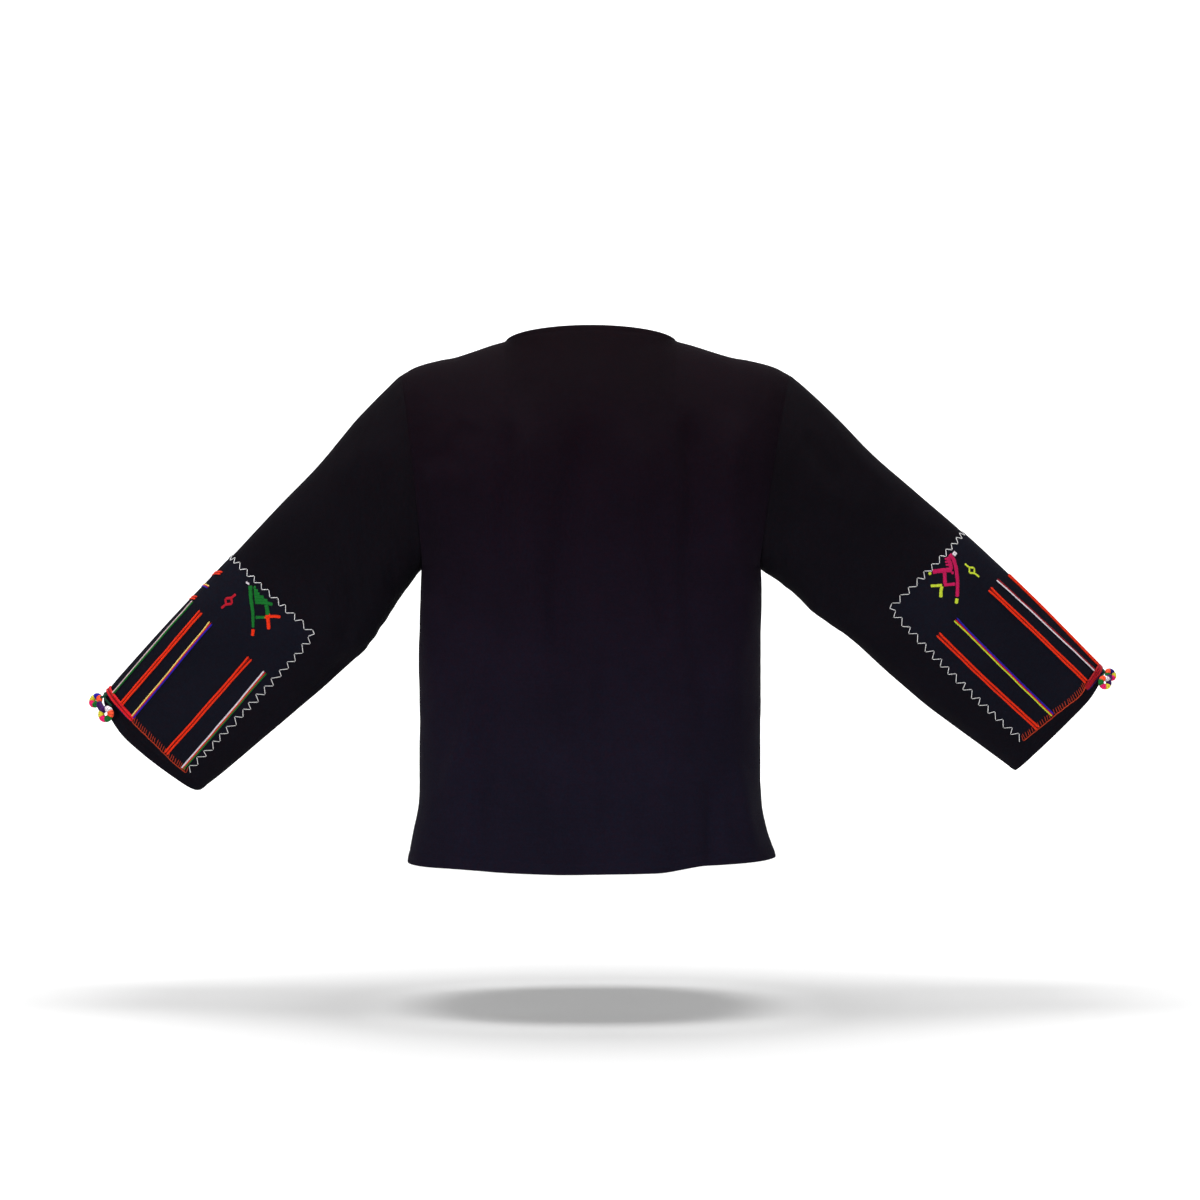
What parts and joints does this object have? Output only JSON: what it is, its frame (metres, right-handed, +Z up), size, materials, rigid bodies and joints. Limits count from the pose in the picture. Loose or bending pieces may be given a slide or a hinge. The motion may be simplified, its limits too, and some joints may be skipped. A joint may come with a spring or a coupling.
{
  "type": "embroidered jacket",
  "caption": "Hip-length black cotton jacket with a plain round neck, wide straight sleeves, side vents and embroidered panels at the sleeve ends, kept in its worn shape.",
  "frame": {"origin": "centre of the neckline, level with the side-neck points, where the jacket hangs on the wearer's shoulders", "axes": "+Z up, -Y towards the jacket's back, +X towards the wearer's right sleeve"},
  "size_m": [1.2103, 0.2578, 0.6116],
  "materials": {
    "jacket_cotton": "matt woven cotton, nearly black",
    "patch_cotton": "matt woven cotton, nearly black, slightly bluer",
    "red_cord": "soft twisted cord",
    "orange_thread": "wrapped embroidery thread, slight sheen",
    "green_thread": "wrapped embroidery thread, slight sheen",
    "pink_thread": "wrapped embroidery thread, slight sheen"
  },
  "bodies": {
    "root": {"back": "jacket_cotton", "front_left": "jacket_cotton", "front_right": "jacket_cotton", "sleeve_left": "jacket_cotton", "sleeve_right": "jacket_cotton", "sleeve_patch_left": "patch_cotton", "sleeve_patch_right": "patch_cotton", "cuff_tab_left": "red_cord", "cuff_tab_right": "red_cord", "thread_ring_left_1": "orange_thread", "thread_ring_left_2": "green_thread", "thread_ring_right_1": "pink_thread", "thread_ring_right_2": "orange_thread"}
  },
  "joints": []
}
